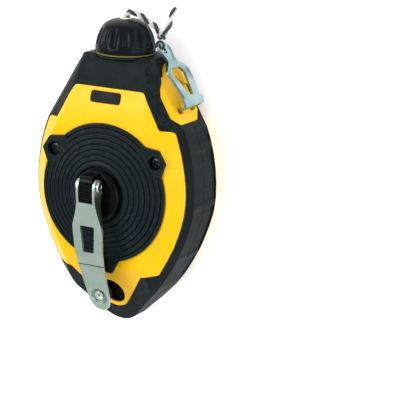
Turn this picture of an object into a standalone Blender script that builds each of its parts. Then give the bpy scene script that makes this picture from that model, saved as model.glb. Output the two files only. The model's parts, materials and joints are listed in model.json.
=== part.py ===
"""Chalk line reel, built as separate named pieces.

Frame: the reel lies on its flat rear face.  +Z is the reel axis, out of the
front face; +Y runs from the nose to the line cap; +X is the hook side.  The
origin is where the reel axis meets the rear face.  Lengths below are in
millimetres and are scaled to metres when a mesh is written.
"""
import bpy
import bmesh
import math
from mathutils import Vector, Matrix

for old in list(bpy.data.objects):
    bpy.data.objects.remove(old, do_unlink=True)

MM = 0.001
GAP = 0.3              # clearance left between touching pieces

# ---- driving dimensions (mm) -------------------------------------------
SEAM_Z = 21.0          # parting plane of the two case halves
FRONT_Z = 41.0         # flat of the front face
SKIN = 2.2             # thickness of the rubber grip over the shells
WALL = 4.6             # depth of the case's inner cavity below its outside
NECK_Y = 63.4          # top of the case, under the cap
NOSE_C, NOSE_R = -55.4, 11.0
GRIP_EDGE, PANEL_FLAT = 2.4, 9.5
COVER_R = 33.0
HUB_R = 12.4
REEL_R = 29.5
DRUM_R = 31.0
GEAR_M = 1.0           # gear module
SUN_T, PLANET_T, RING_T = 12, 18, 48
PLANET_C = GEAR_M * (SUN_T + PLANET_T) / 2
GEAR_Z0, GEAR_Z1 = 35.8, 39.2
PIN_Y, PIN_Z = 6.1, 54.6      # hinge of the folding crank
ARM_T = 1.2
KNOB_Y = -49.4
KNOB_R, KNOB_H = 5.2, 3.4
CAP_Z = 24.0
LINE_R = 1.5
SHOULDER = (Vector((19.0, 61.2)), Vector((37.0, 31.0)))
HOOK_Z = 20.5
SCREW_R, SCREW_A = 32.6, math.radians(33)

# ---- small helpers ------------------------------------------------------


def material(name, rgb, rough, metal=0.0):
    m = bpy.data.materials.new(name)
    m.use_nodes = True
    b = m.node_tree.nodes["Principled BSDF"]
    b.inputs["Base Color"].default_value = (*rgb, 1)
    b.inputs["Roughness"].default_value = rough
    b.inputs["Metallic"].default_value = metal
    m.diffuse_color = (*rgb, 1)
    return m


YELLOW = (0.95, 0.62, 0.02)
BLACK = (0.03, 0.035, 0.035)
STEEL = (0.62, 0.64, 0.62)
ZINC = (0.60, 0.64, 0.66)


def add(name, bm, rgb=None, rough=0.5, metal=0.0, origin=(0, 0, 0), smooth=True):
    """Write a bmesh in millimetres as an object, its origin at origin (mm)."""
    bmesh.ops.remove_doubles(bm, verts=bm.verts, dist=1e-4)
    bmesh.ops.recalc_face_normals(bm, faces=bm.faces)
    o = Vector(origin)
    for v in bm.verts:
        v.co = (v.co - o) * MM
    me = bpy.data.meshes.new(name)
    bm.to_mesh(me)
    bm.free()
    ob = bpy.data.objects.new(name, me)
    ob.location = o * MM
    bpy.context.collection.objects.link(ob)
    if rgb is None:
        ob.hide_render = True
        ob.display_type = "WIRE"
    else:
        me.materials.append(material(name, rgb, rough, metal))
        if smooth:
            me.shade_smooth()
            me.set_sharp_from_angle(angle=math.radians(35))
    return ob


def boolean(ob, cutter, how="DIFFERENCE"):
    m = ob.modifiers.new(how.lower() + "_" + cutter.name, "BOOLEAN")
    m.operation = how
    m.solver = "EXACT"
    m.object = cutter
    return ob


def prism(poly, z0, z1, to=None):
    """Extrude a closed outline of (u, v) from w=z0 to w=z1; to maps (u,v,w)."""
    to = to or (lambda u, v, w: (u, v, w))
    bm = bmesh.new()
    lo = [bm.verts.new(to(u, v, z0)) for u, v in poly]
    hi = [bm.verts.new(to(u, v, z1)) for u, v in poly]
    n = len(poly)
    for i in range(n):
        j = (i + 1) % n
        bm.faces.new((lo[i], lo[j], hi[j], hi[i]))
    bm.faces.new(lo[::-1])
    bm.faces.new(hi)
    return bm


def lathe(profile, segs, to=None, wave=None, phase=0.0):
    """Turn a closed profile of (r, h).  wave(a, r, h) may change r."""
    to = to or (lambda x, y, z: (x, y, z))
    bm = bmesh.new()
    rings = []
    for r, h in profile:
        if r < 1e-6:
            rings.append([bm.verts.new(to(0, 0, h))])
            continue
        ring = []
        for k in range(segs):
            a = 2 * math.pi * k / segs + phase
            q = wave(a, r, h) if wave else r
            ring.append(bm.verts.new(to(q * math.cos(a), q * math.sin(a), h)))
        rings.append(ring)
    n = len(rings)
    for i in range(n):
        a, b = rings[i], rings[(i + 1) % n]
        if len(a) == 1 and len(b) == 1:
            continue
        for k in range(segs):
            j = (k + 1) % segs
            if len(a) == 1:
                bm.faces.new((a[0], b[j], b[k]))
            elif len(b) == 1:
                bm.faces.new((a[k], a[j], b[0]))
            else:
                bm.faces.new((a[k], a[j], b[j], b[k]))
    return bm


def cyl(r, z0, z1, x=0.0, y=0.0, segs=24, to=None):
    to = to or (lambda u, v, w: (u, v, w))
    poly = [(x + r * math.cos(2 * math.pi * k / segs + math.pi / segs),
             y + r * math.sin(2 * math.pi * k / segs + math.pi / segs)) for k in range(segs)]
    return prism(poly, z0, z1, to)


def along_y(z=CAP_Z, x=0.0):
    """Map a lathe's own axis onto the line cap's axis (+Y)."""
    return lambda u, v, h: (x + v, h, z + u)


def along_x(y, z):
    return lambda u, v, h: (h, y + u, z + v)


def join(bms):
    """Put several closed meshes into one bmesh (they must not touch)."""
    out = bmesh.new()
    for b in bms:
        me = bpy.data.meshes.new("tmp")
        b.to_mesh(me)
        b.free()
        out.from_mesh(me)
        bpy.data.meshes.remove(me)
    return out


def fillet(poly, radii, steps=3):
    """Round the corners of a closed outline."""
    out, n = [], len(poly)
    for i, p in enumerate(poly):
        r = radii[i] if isinstance(radii, (list, tuple)) else radii
        p, a, b = Vector(p), Vector(poly[i - 1]), Vector(poly[(i + 1) % n])
        if r <= 0:
            out.append((p.x, p.y))
            continue
        u, w = (a - p).normalized(), (b - p).normalized()
        half = math.acos(max(-1, min(1, u.dot(w)))) / 2
        t = min(r / math.tan(half), 0.45 * (a - p).length, 0.45 * (b - p).length)
        s, e = p + u * t, p + w * t
        for k in range(steps + 1):
            f = k / steps
            q = s * (1 - f) ** 2 + p * 2 * f * (1 - f) + e * f ** 2
            out.append((q.x, q.y))
    return out


def mirrored(right):
    """Close a right-hand half outline, listed from the top to the nose."""
    left = [(-x, y) for x, y in reversed(right) if x > 1e-6]
    return right + left


def grow(poly, d):
    """Offset a closed clockwise outline outwards by d."""
    n, out = len(poly), []
    area = sum(poly[i][0] * poly[(i + 1) % n][1] - poly[(i + 1) % n][0] * poly[i][1] for i in range(n))
    s = 1 if area > 0 else -1
    for i in range(n):
        a, p, b = Vector(poly[i - 1]), Vector(poly[i]), Vector(poly[(i + 1) % n])
        e1, e2 = (p - a).normalized(), (b - p).normalized()
        n1, n2 = Vector((e1.y, -e1.x)) * s, Vector((e2.y, -e2.x)) * s
        m = n1 + n2
        q = p + m * (d / max(0.35, 1 + n1.dot(n2)))
        out.append((q.x, q.y))
    return out


# ---- the case's outer form: a convex body given by its faces ------------
SIDE = [(14.2, NECK_Y), (17.9, 63.05), (37.0, 31.0), (39.2, 25.2), (41.0, 18.6), (42.2, 11.6), (42.85, 4.6),
        (42.85, -2.6), (42.0, -9.4), (40.2, -15.6), (37.8, -22.2), (35.2, -28.4), (31.4, -35.4), (27.4, -41.9),
        (22.6, -48.2), (15.4, -55.6)]


def case_planes(d):
    """Point and outward normal of each face of the case, moved in by d."""
    planes = []
    walls = [(Vector((0, NECK_Y)), Vector((0, 1)))]
    for (x0, y0), (x1, y1) in zip(SIDE, SIDE[1:]):
        e = Vector((x1 - x0, y1 - y0)).normalized()
        walls.append((Vector((x0, y0)), Vector((-e.y, e.x))))
    for deg in (-57, -69, -80):
        a = math.radians(deg)
        n = Vector((math.cos(a), math.sin(a)))
        walls.append((Vector((0, NOSE_C)) + n * NOSE_R, n))
    full = list(walls)
    for p, n in walls:
        if n.x > 1e-6:
            full.append((Vector((-p.x, p.y)), Vector((-n.x, n.y))))
    full.append((Vector((0, NOSE_C - NOSE_R)), Vector((0, -1))))
    for p, n in full:
        for inset, z, nz in ((0.0, 20.0, None), (0.0, 31.5, (3.5, 2.4)), (GRIP_EDGE, 35.0, (6.0, 7.1)),
                             (0.0, 10.5, (4.0, -2.4)), (GRIP_EDGE, 6.5, (6.5, -7.1))):
            if nz is None:
                nn = Vector((n.x, n.y, 0))
            else:
                k = math.hypot(*nz)
                nn = Vector((n.x * nz[0] / k, n.y * nz[0] / k, nz[1] / k))
            q = Vector((p.x - n.x * inset, p.y - n.y * inset, z))
            planes.append((q - nn * d, nn))
    slopes = [((0, 37, FRONT_Z), (0, 6.8, 25.6)), ((0, -36.5, 40.0), (0, -14.0, 23.0)),
              ((0, 40, 0), (0, 5.0, -22.6)), ((0, -38, 0), (0, -13.0, -22.0)),
              ((0, 0, FRONT_Z), (0, 0, 1)), ((0, 0, 0), (0, 0, -1))]
    for p, n in slopes:
        n = Vector(n).normalized()
        planes.append((Vector(p) - n * d, n))
    return planes


def case_body(d, z0=None, z1=None):
    """The case's outer form moved in by d, kept between two heights."""
    bm = bmesh.new()
    bmesh.ops.create_cube(bm, size=300)
    planes = case_planes(d)
    if z0 is not None:
        planes.append((Vector((0, 0, z0)), Vector((0, 0, -1))))
    if z1 is not None:
        planes.append((Vector((0, 0, z1)), Vector((0, 0, 1))))
    for co, no in planes:
        geom = bm.verts[:] + bm.edges[:] + bm.faces[:]
        bmesh.ops.bisect_plane(bm, geom=geom, dist=1e-3, plane_co=co, plane_no=no, clear_outer=True)
        rim = [e for e in bm.edges if e.is_boundary]
        if rim:
            bmesh.ops.edgeloop_fill(bm, edges=rim)
    bmesh.ops.remove_doubles(bm, verts=bm.verts, dist=0.02)
    bmesh.ops.dissolve_degenerate(bm, edges=bm.edges, dist=0.02)
    return bm


# yellow panel outline on each face, right half from the top to the nose
PANEL_RIGHT = [(0.0, 48.9), (18.4, 48.9), (27.5, 32.3), (33.8, 31.9), (37.0, 23.0), (39.3, 12.6),
               (40.3, 3.0), (39.6, -7.6), (34.9, -23.0), (27.0, -37.2), (19.0, -38.8), (9.6, -51.3),
               (4.8, -57.4), (0.0, -58.9)]
PANEL = fillet(mirrored(PANEL_RIGHT), [0, 2.2, 1.2, 2.5, 90, 90, 90, 90, 90, 1.8, 1.5, 12, 6, 5,
                                       6, 12, 1.5, 1.8, 90, 90, 90, 90, 90, 2.5, 1.2, 2.2], steps=2)
CASE_SCREWS = [(25.5, 29.0), (-25.5, 29.0), (23.5, -29.0), (-23.5, -29.0), (14.3, 45.6), (-14.3, 45.6)]
COVER_SCREWS = [(SCREW_R * math.cos(a), SCREW_R * math.sin(a))
                for a in (SCREW_A, math.pi - SCREW_A, -math.pi / 2)]


def shoulder(t, h, z):
    """Point t along the right shoulder from its top, h outwards, at z."""
    p, q = SHOULDER
    e = (q - p).normalized()
    n = Vector((-e.y, e.x))
    v = p + e * t + n * h
    return (v.x, v.y, z)


DOCK = fillet([(6.4, 29.0), (11.8, 33.0), (15.4, 34.3), (26.2, 34.3), (31.0, 31.3), (31.0, 15.0),
               (26.0, 10.5), (13.0, 10.5), (6.4, 15.5)], 1.6, steps=2)


def dock_prism(d, h0, h1):
    return prism(grow(DOCK, d), h0, h1, lambda t, z, h: shoulder(t, h, z))


# ---- case halves --------------------------------------------------------
def keep_for_case(name, z0, z1, front):
    """Everything inside the cavity that stays solid: walls, posts, bosses."""
    cavity = add(name, case_body(WALL, z0, z1))
    keeps = [cyl(3.0, -5, 60, x, y, 8) for x, y in CASE_SCREWS]
    if front:
        keeps.append(cyl(9.8, -5, 60, 0, -50, 16))
        keeps.append(cyl(DRUM_R, 33.0, 60, 0, 0, 32))
        keeps += [cyl(3.7, 33.0, 60, x, y, 8) for x, y in COVER_SCREWS]
    else:
        keeps.append(cyl(6.0, -5, 5.1, 0, 0, 16))
    for i, k in enumerate(keeps):
        boolean(cavity, add(f"{name}_keep_{i}", k))
    return cavity


def case_half(tag, z0, z1, front):
    shell = add(f"{tag}_shell", case_body(SKIN, z0, z1), YELLOW, 0.35)
    block = add(f"{tag}_panel_block", case_body(0, z0, z1))
    zz = (22.5, 60) if front else (-20, 19.0)
    boolean(block, add(f"{tag}_panel_cut", prism(PANEL, *zz)), "INTERSECT")
    boolean(shell, block, "UNION")
    boolean(shell, keep_for_case(f"{tag}_cavity", *((SEAM_Z - 1.5, 36.5) if front else (4.6, SEAM_Z + 1.5)), front))
    collar = lathe([(0, 54.0), (8.9, 54.0), (8.9, 61.9), (13.7, 61.9), (13.7, 70.0), (0, 70.0)], 28, along_y())
    boolean(shell, add(f"{tag}_collar_cut", collar))
    grip = add(f"{tag}_grip", case_body(0, z0, z1), BLACK, 0.6)
    boolean(grip, add(f"{tag}_grip_core", case_body(SKIN - GAP, z0 - 2, z1 + 2)))
    big = grow(PANEL, GAP)
    zg = (22.2, 60) if front else (-20, 19.3)
    boolean(grip, add(f"{tag}_grip_window", prism(big, *zg)))
    boolean(grip, add(f"{tag}_grip_collar", lathe([(0, 54.0), (9.2, 54.0), (9.2, 61.9), (13.7, 61.9), (13.7, 70.0), (0, 70.0)], 28, along_y())))
    boolean(grip, add(f"{tag}_grip_dock", dock_prism(0, -6, 6)))
    return shell, grip


front_shell, front_grip = case_half("front", SEAM_Z + 0.15, 60, True)
rear_shell, rear_grip = case_half("rear", -20, SEAM_Z - 0.15, False)

# gear well, shaft hole and cover seat in the front shell
boolean(front_shell, add("gear_well", cyl(28.6, 35.5, 60, 0, 0, 32)))
boolean(front_shell, add("shaft_hole", cyl(4.6, 30, 40, 0, 0, 20)))
boolean(front_shell, add("socket_pocket", cyl(6.5, 23.2, 60, 0, -50, 24)))
for i, (x, y) in enumerate(COVER_SCREWS):
    boolean(front_shell, add(f"boss_seat_{i}", cyl(4.3, 37.6, 60, x, y, 16)))
    boolean(front_shell, add(f"boss_bore_{i}", cyl(1.45, 34.2, 40, x, y, 8)))
for i, (x, y) in enumerate(CASE_SCREWS):
    boolean(front_shell, add(f"post_bore_{i}", cyl(1.45, 20, 33.5, x, y, 8)))
    boolean(rear_shell, add(f"rear_bore_{i}", cyl(1.6, -5, 25, x, y, 8)))
    boolean(rear_shell, add(f"head_seat_{i}", cyl(2.9, -5, 3.2, x, y, 12)))
boolean(rear_shell, add("axle_seat", cyl(2.8, 2.2, 9.0, 0, 0, 16)))

# blank label plate let into the sloping top of the front panel
LABEL_C = Vector((-1.3, 44.6))
slope = math.atan2(6.8, 25.6)


def on_slope(u, v, w):
    y = LABEL_C.y + v * math.cos(slope) + w * math.sin(slope)
    z = FRONT_Z - (LABEL_C.y - 37) * math.tan(slope) - v * math.sin(slope) + w * math.cos(slope)
    return (LABEL_C.x + u, y, z)


label = fillet([(-7.9, -2.7), (7.9, -2.7), (7.9, 2.7), (-7.9, 2.7)], 1.3, steps=2)
boolean(front_shell, add("label_seat", prism(grow(label, GAP), -0.7, 8, on_slope)))
add("label_plate", prism(label, -0.4, 0.15, on_slope), BLACK, 0.4)

# hook dock, let into the right shoulder across the seam
dock = add("hook_dock", case_body(0.5), YELLOW, 0.35)
boolean(dock, add("dock_core", case_body(SKIN - GAP)))
boolean(dock, add("dock_edge", dock_prism(-GAP, -6, 6)), "INTERSECT")
PRONG_T, PRONG_Z = 24.4, (26.0, 15.0)
for i, z in enumerate(PRONG_Z):
    hole = prism([(PRONG_T - 1.3, z - 1.9), (PRONG_T + 1.3, z - 1.9), (PRONG_T + 1.3, z + 1.9), (PRONG_T - 1.3, z + 1.9)],
                 -6, 6, lambda t, zz, h: shoulder(t, h, zz))
    boolean(dock, add(f"dock_hole_{i}", hole))

# black lining of the recess that receives the knob
socket = add("knob_socket", lathe([(0, 23.5), (6.2, 23.5), (6.2, 30.2), (5.5, 30.2), (5.5, 24.7), (0, 24.7)], 24,
                         lambda x, y, z: (x, y - 50, z)), BLACK, 0.6)
boolean(socket, add("socket_trim", case_body(0.6)), "INTERSECT")

# ---- neck, cap and line guide -------------------------------------------
add("neck_collar", lathe([(6.6, 57.2), (8.6, 57.2), (8.6, 62.2), (13.4, 62.2), (13.4, 63.3), (10.6, 63.3),
                          (10.6, 71.4), (8.4, 71.4), (6.6, 66.0)], 28, along_y()), BLACK, 0.5)
add("cap_gasket", lathe([(10.9, 63.6), (13.8, 63.6), (13.8, 64.3), (10.9, 64.3)], 28, along_y()), (0.30, 0.26, 0.08), 0.7)
FLUTES = 14


def flute(a, r, h):
    if r < 11.6 or not 67.4 < h < 75.0:
        return r
    return r - 0.7 * (0.5 + 0.5 * math.cos(FLUTES * (a - math.radians(32.4)))) ** 2


add("line_cap", lathe([(11.4, 64.6), (14.0, 64.6), (14.1, 67.2), (13.5, 70.4), (12.2, 73.6), (10.4, 76.6), (8.9, 78.0),
                       (6.6, 79.1), (3.3, 79.8), (3.3, 77.6), (6.2, 77.0), (8.8, 75.4), (10.6, 73.2), (11.2, 71.8)],
                      42, along_y(), flute), BLACK, 0.45, origin=(0, 72, CAP_Z))
add("line_bushing", lathe([(1.95, 76.0), (5.2, 76.0), (5.2, 77.0), (3.0, 77.0), (3.0, 80.3), (1.95, 80.3)], 20,
                          along_y()), (0.85, 0.80, 0.62), 0.5)
add("felt_wiper", lathe([(1.95, 72.4), (8.4, 72.4), (8.4, 74.9), (7.0, 75.7), (1.95, 75.7)], 20, along_y()),
    (0.75, 0.74, 0.70), 0.95)

# ---- gear cover ---------------------------------------------------------
steps, r0, r1, zlo, zhi = 7, COVER_R, 15.5, 42.0, 46.3
top = [(COVER_R, 41.3)]
for k in range(steps):
    r = r0 - (r0 - r1) * k / steps
    z = zlo + (zhi - zlo) * k / steps
    top += [(r, z), (r - 0.5, z + (zhi - zlo) / steps)]
profile = top + [(13.2, 46.6), (5.6, 46.6), (5.6, 43.2), (19.8, 43.2), (20.6, 41.3)]
cover = add("gear_cover", lathe(profile, 36), BLACK, 0.5)
rot = lambda p, a: (p[0] * math.cos(a) - p[1] * math.sin(a), p[0] * math.sin(a) + p[1] * math.cos(a))
lug_right = [(24.0, 11.0), (30.6, 11.4), (33.2, 18.0), (29.4, 23.9), (20.5, 24.9), (18.0, 20.0)]
lug_left = [(-x, y) for x, y in reversed(lug_right)]
lug_low = [(-9.5, -28.0), (-9.0, -31.7), (-5.8, -37.9), (5.8, -37.9), (9.0, -31.7), (9.5, -28.0)]
for i, (lug, (x, y)) in enumerate(zip((lug_right, lug_left, lug_low), COVER_SCREWS)):
    boolean(cover, add(f"lug_{i}", prism(lug, 41.3, 42.6)), "UNION")
    boolean(cover, add(f"lug_boss_{i}", cyl(4.0, 37.9, 42.2, x, y, 16)), "UNION")
for i, (x, y) in enumerate(COVER_SCREWS):
    boolean(cover, add(f"lug_counterbore_{i}", cyl(3.2, 39.2, 60, x, y, 16)))
    boolean(cover, add(f"lug_bore_{i}", cyl(1.5, 30, 60, x, y, 8)))
    add(f"cover_screw_{i + 1}", lathe([(0, 34.6), (1.1, 34.6), (1.1, 39.5), (2.7, 39.5), (2.7, 40.7), (0, 41.1)], 10,
                                      lambda u, v, w, x=x, y=y: (x + u, y + v, w)), STEEL, 0.3, 1.0)
for i, (x, y) in enumerate(CASE_SCREWS):
    add(f"case_screw_{i + 1}", lathe([(0, 0.9), (2.5, 1.3), (2.5, 2.9), (1.2, 2.9), (1.2, 32.5), (0, 32.5)], 8,
                                     lambda u, v, w, x=x, y=y: (x + u, y + v, w)), STEEL, 0.3, 1.0)

# ---- gear train: sun on the reel, three planets, ring fixed in the case --


def gear_outline(teeth, phase=0.0, internal=False):
    r = GEAR_M * teeth / 2
    add_, ded = (0.9 if internal else 0.85) * GEAR_M, 1.15 * GEAR_M
    r_tip, r_root = (r - add_, r + ded) if internal else (r + add_, r - ded)
    half_tip, half_root = (0.135, 0.31) if not internal else (0.15, 0.33)
    out = []
    for k in range(teeth):
        c = 2 * math.pi * k / teeth + phase
        p = 2 * math.pi / teeth
        for rr, f in ((r_root, -half_root), (r_tip, -half_tip), (r_tip, half_tip), (r_root, half_root)):
            out.append((rr * math.cos(c + f * p), rr * math.sin(c + f * p)))
    return out


def gear(name, teeth, x, y, bore, rgb, rough, metal=0.0):
    o = [(x + u, y + v) for u, v in gear_outline(teeth)]
    g = add(name, prism(o, GEAR_Z0, GEAR_Z1), rgb, rough, metal, origin=(x, y, GEAR_Z0), smooth=False)
    boolean(g, add(name + "_bore", cyl(bore, 30, 50, x, y, 16)))
    return g


gear("sun_gear", SUN_T, 0, 0, 3.5, (0.75, 0.74, 0.70), 0.5)
planet_at = [math.radians(a) for a in (90, 210, 330)]
for i, a in enumerate(planet_at):
    x, y = PLANET_C * math.cos(a), PLANET_C * math.sin(a)
    gear(f"planet_gear_{i + 1}", PLANET_T, x, y, 1.7, (0.80, 0.79, 0.74), 0.5)
    add(f"planet_pin_{i + 1}", cyl(1.4, 35.9, 42.4, x, y, 12), STEEL, 0.3, 1.0)
ring = add("ring_gear", cyl(28.1, GEAR_Z0, GEAR_Z1, 0, 0, 32), (0.75, 0.74, 0.70), 0.5, smooth=False)
boolean(ring, add("ring_teeth", prism(gear_outline(RING_T, 0.0, True), 30, 50)))
arms = []
for a in planet_at:
    for d in (-14, 14):
        arms.append(rot((18.6, 0), a + math.radians(d)))
    arms.append(rot((7.5, 0), a + math.radians(60)))
carrier = add("planet_carrier", prism(fillet(arms, [2, 2, 0] * 3, steps=2), 40.7, 42.1), STEEL, 0.35, 1.0)
boolean(carrier, add("carrier_bore", cyl(3.3, 30, 50, 0, 0, 16)))
for i, a in enumerate(planet_at):
    boolean(carrier, add(f"carrier_hole_{i}", cyl(1.7, 30, 50, PLANET_C * math.cos(a), PLANET_C * math.sin(a), 12)))

# ---- reel ---------------------------------------------------------------
add("reel_spool", lathe([(0, 38.6), (3.2, 38.6), (3.2, 35.6), (4.2, 35.6), (4.2, 31.6), (REEL_R, 31.6), (REEL_R, 30.0),
                         (8.5, 30.0), (8.5, 7.0), (REEL_R, 7.0), (REEL_R, 5.4), (2.8, 5.4), (2.8, 30.2), (0, 30.2)], 28),
    (0.80, 0.79, 0.74), 0.5)
add("wound_line", lathe([(8.8, 7.4), (23.0, 7.4), (24.0, 11.0), (24.0, 26.0), (23.0, 29.6), (8.8, 29.6)], 24),
    (0.85, 0.84, 0.80), 0.9)
add("reel_axle", lathe([(0, 2.6), (2.5, 2.6), (2.5, 29.4), (0, 29.9)], 16), STEEL, 0.25, 1.0)
add("dust_seal", lathe([(4.6, 31.9), (9.0, 31.9), (9.0, 32.7), (4.6, 32.7)], 24), (0.35, 0.34, 0.32), 0.95)

# ---- crank hub ----------------------------------------------------------
hub = add("crank_hub", lathe([(0, 40.7), (3.0, 40.7), (3.0, 42.4), (5.0, 42.4), (5.0, 46.9), (HUB_R, 46.9), (HUB_R, 48.6),
                              (HUB_R - 1.3, 50.0), (0, 50.0)], 32), BLACK, 0.45)
block = fillet([(-0.4, 48.0), (10.2, 48.0), (10.2, 58.0), (-0.4, 58.0)], [0, 0, 3.0, 1.6], steps=3)
boolean(hub, add("hub_block", prism(block, -3.3, 3.3, lambda y, z, x: (x, y, z))), "UNION")
boolean(hub, add("hub_pin_hole", cyl(1.9, -9, 9, 0, 0, 16, along_x(PIN_Y, PIN_Z))))
boolean(hub, add("hub_screw_bore", cyl(1.6, 38, 47.0, 0, 0, 10)))
add("hub_screw", lathe([(0, 39.4), (4.6, 39.5), (4.6, 40.4), (1.3, 40.4), (1.3, 46.4), (0, 46.4)], 16), STEEL, 0.3, 1.0)

# ---- crank arm: a steel strip, bent once, with a window ------------------
SLOPE_LO = 0.445
BEND_Y, BEND_Z = -32.5, 52.2


def arm_z(y):
    """Height of the arm's outer face at y."""
    pts = [(10, 57.6), (-1.8, 57.3), (-13, 55.9), (-26, 54.3), (BEND_Y, BEND_Z), (-60, BEND_Z + (-60 - BEND_Y) * SLOPE_LO)]
    for (ya, za), (yb, zb) in zip(pts, pts[1:]):
        if y >= yb:
            return za + (zb - za) * (ya - y) / (ya - yb)
    return pts[-1][1]


def grid_plate(rows, holes, thick):
    """rows: list of rows of (x, y, z); holes: cells (row, col) left open."""
    bm = bmesh.new()
    nr, nc = len(rows), len(rows[0])
    outer = [[bm.verts.new(p) for p in r] for r in rows]
    inner = [[bm.verts.new((p[0] - thick[0], p[1] - thick[1], p[2] - thick[2])) for p in r] for r in rows]
    cells = {(i, j) for i in range(nr - 1) for j in range(nc - 1)} - set(holes)
    for i, j in cells:
        q = [(i, j), (i, j + 1), (i + 1, j + 1), (i + 1, j)]
        bm.faces.new([outer[a][b] for a, b in q])
        bm.faces.new([inner[a][b] for a, b in reversed(q)])
        for (a, b), other in ((((i, j), (i, j + 1)), (i - 1, j)), (((i, j + 1), (i + 1, j + 1)), (i, j + 1)),
                              (((i + 1, j + 1), (i + 1, j)), (i + 1, j)), (((i + 1, j), (i, j)), (i, j - 1))):
            if other not in cells:
                bm.faces.new([outer[b[0]][b[1]], outer[a[0]][a[1]], inner[a[0]][a[1]], inner[b[0]][b[1]]])
    return bm


ARM_ROWS = [(-1.8, 4.65, 1.5), (-8.0, 6.3, 2.6), (-13.0, 7.9, 3.9), (-19.5, 7.7, 3.4), (-26.0, 7.3, 2.95),
            (BEND_Y, 6.85, 2.6), (-40.0, 6.3, 2.2), (-45.6, 5.9, 2.0), (-49.4, 5.75, 2.0), (-52.6, 5.2, 1.8),
            (-55.0, 4.0, 1.3), (-56.6, 2.3, 0.8), (-57.1, 1.2, 0.4)]
rows = [[(x, y, arm_z(y)) for x in (-w, -v, v, w)] for y, w, v in ARM_ROWS]
ARM_AXIS = (0, PIN_Y, PIN_Z)
arm = add("crank_arm", grid_plate(rows, [(2, 1), (3, 1)], (0, 0, ARM_T * 1.04)), STEEL, 0.35, 1.0, origin=ARM_AXIS)
FLANGE = [(10.0, 5.0, 55.4, 53.8), (8.9, 5.0, 57.2, 52.0), (6.1, 5.0, 58.3, 50.9), (2.5, 5.0, 58.2, 51.2),
          (-1.8, 4.95, 57.27, 52.1), (-8.0, 6.27, 56.48, 53.3), (-12.8, 7.8, 55.85, 54.6)]
for s in (1, -1):
    fr = [[(s * x, y, zt), (s * x, y, (zt + zb) / 2), (s * x, y, zb)] for y, x, zt, zb in FLANGE]
    lug = add(f"arm_flange_{'r' if s > 0 else 'l'}", grid_plate(fr, [], (s * ARM_T, 0, 0)))
    boolean(arm, lug, "UNION")
boolean(arm, add("arm_pin_hole", cyl(1.9, -12, 12, 0, 0, 16, along_x(PIN_Y, PIN_Z))))
DN = Vector((0, -SLOPE_LO, 1)).normalized()        # outward normal of the arm's lower part
KNOB_AT = Vector((0, KNOB_Y, arm_z(KNOB_Y)))


def on_arm(u, v, w):
    """Frame at the knob: w outwards from the arm's outer face."""
    side = Vector((1, 0, 0))
    up = DN.cross(side)
    p = KNOB_AT + side * u + up * v + DN * w
    return (p.x, p.y, p.z)


boolean(arm, add("arm_knob_hole", cyl(1.6, -6, 6, 0, 0, 14, on_arm)))
pin = lathe([(0.9, -6.1), (2.5, -6.1), (2.5, -5.3), (1.6, -5.3), (1.6, 5.3), (2.5, 5.3), (2.5, 6.1), (0.9, 6.1)], 16,
            along_x(PIN_Y, PIN_Z))
add("crank_pin", pin, STEEL, 0.3, 1.0, origin=ARM_AXIS)
T1 = ARM_T
add("knob_rivet", lathe([(0.6, 0.9), (2.5, 0.9), (2.7, 0.3), (1.2, 0.3), (1.2, -T1 - KNOB_H + 0.6), (0.6, -T1 - KNOB_H + 0.6)],
                        16, on_arm), STEEL, 0.3, 1.0)
k0, k1 = -T1 - 0.35, -T1 - 0.35 - KNOB_H
add("knob", lathe([(1.55, k0), (4.6, k0), (5.3, k0 - 0.6), (KNOB_R, k1 + 1.5), (KNOB_R - 0.35, k1 + 0.5), (KNOB_R - 1.1, k1), (2.0, k1), (1.55, k1 + 0.5)],
                  24, on_arm), BLACK, 0.5, origin=tuple(KNOB_AT))

# ---- hook ---------------------------------------------------------------
HOOK_T0, HOOK_H0, HOOK_T1, HOOK_H1 = -8.0, 0.9, 24.5, 4.9
e = Vector((HOOK_T1 - HOOK_T0, HOOK_H1 - HOOK_H0)).normalized()


def on_hook(s, z, k):
    """s along the hook from its eye, z across, k out of its plate."""
    t = HOOK_T0 + e.x * s - e.y * k
    h = HOOK_H0 + e.y * s + e.x * k
    return shoulder(t, h, HOOK_Z + z)


HOOK_PLATE = [(0.0, 3.2), (1.0, 4.7), (3.6, 4.9), (8.6, 3.6), (10.2, 4.6), (13.0, 9.2), (14.2, 9.9), (29.0, 7.0), (30.4, 7.2),
              (30.4, -7.2), (29.0, -7.0), (14.2, -9.9), (13.0, -9.2), (10.2, -4.6), (8.6, -3.6), (3.6, -4.9), (1.0, -4.7),
              (0.0, -3.2)]
hook = add("line_hook", prism(HOOK_PLATE, 0, 1.2, on_hook), ZINC, 0.35, 1.0)
lip = [(29.2, 0.05), (30.3, -0.05), (32.4, -0.95), (33.0, 0.1), (30.6, 1.15), (29.2, 1.15)]
boolean(hook, add("hook_lip", prism(lip, -8.4, 8.4, lambda s, k, z: on_hook(s, z, k))), "UNION")
for i, z in enumerate(PRONG_Z):
    pr = [(PRONG_T - 0.6, 5.2), (PRONG_T + 0.6, 5.2), (PRONG_T + 0.6, -1.3), (PRONG_T - 0.6, -1.3)]
    boolean(hook, add(f"hook_prong_{i}", prism(pr, z - 1.2, z + 1.2, lambda t, h, zz: shoulder(t, h, zz))), "UNION")
window = fillet([(14.6, 3.2), (16.4, 4.4), (27.0, 1.3), (27.0, -1.3), (16.4, -4.4), (14.6, -3.2)], 0.8, steps=1)
boolean(hook, add("hook_window", prism(window, -3, 4, on_hook)))
slot = fillet([(1.9, -1.6), (1.9, 1.6), (5.4, 1.2), (5.4, -1.2)], 0.7, steps=2)
boolean(hook, add("hook_slot", prism(slot, -3, 4, on_hook)))


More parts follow.
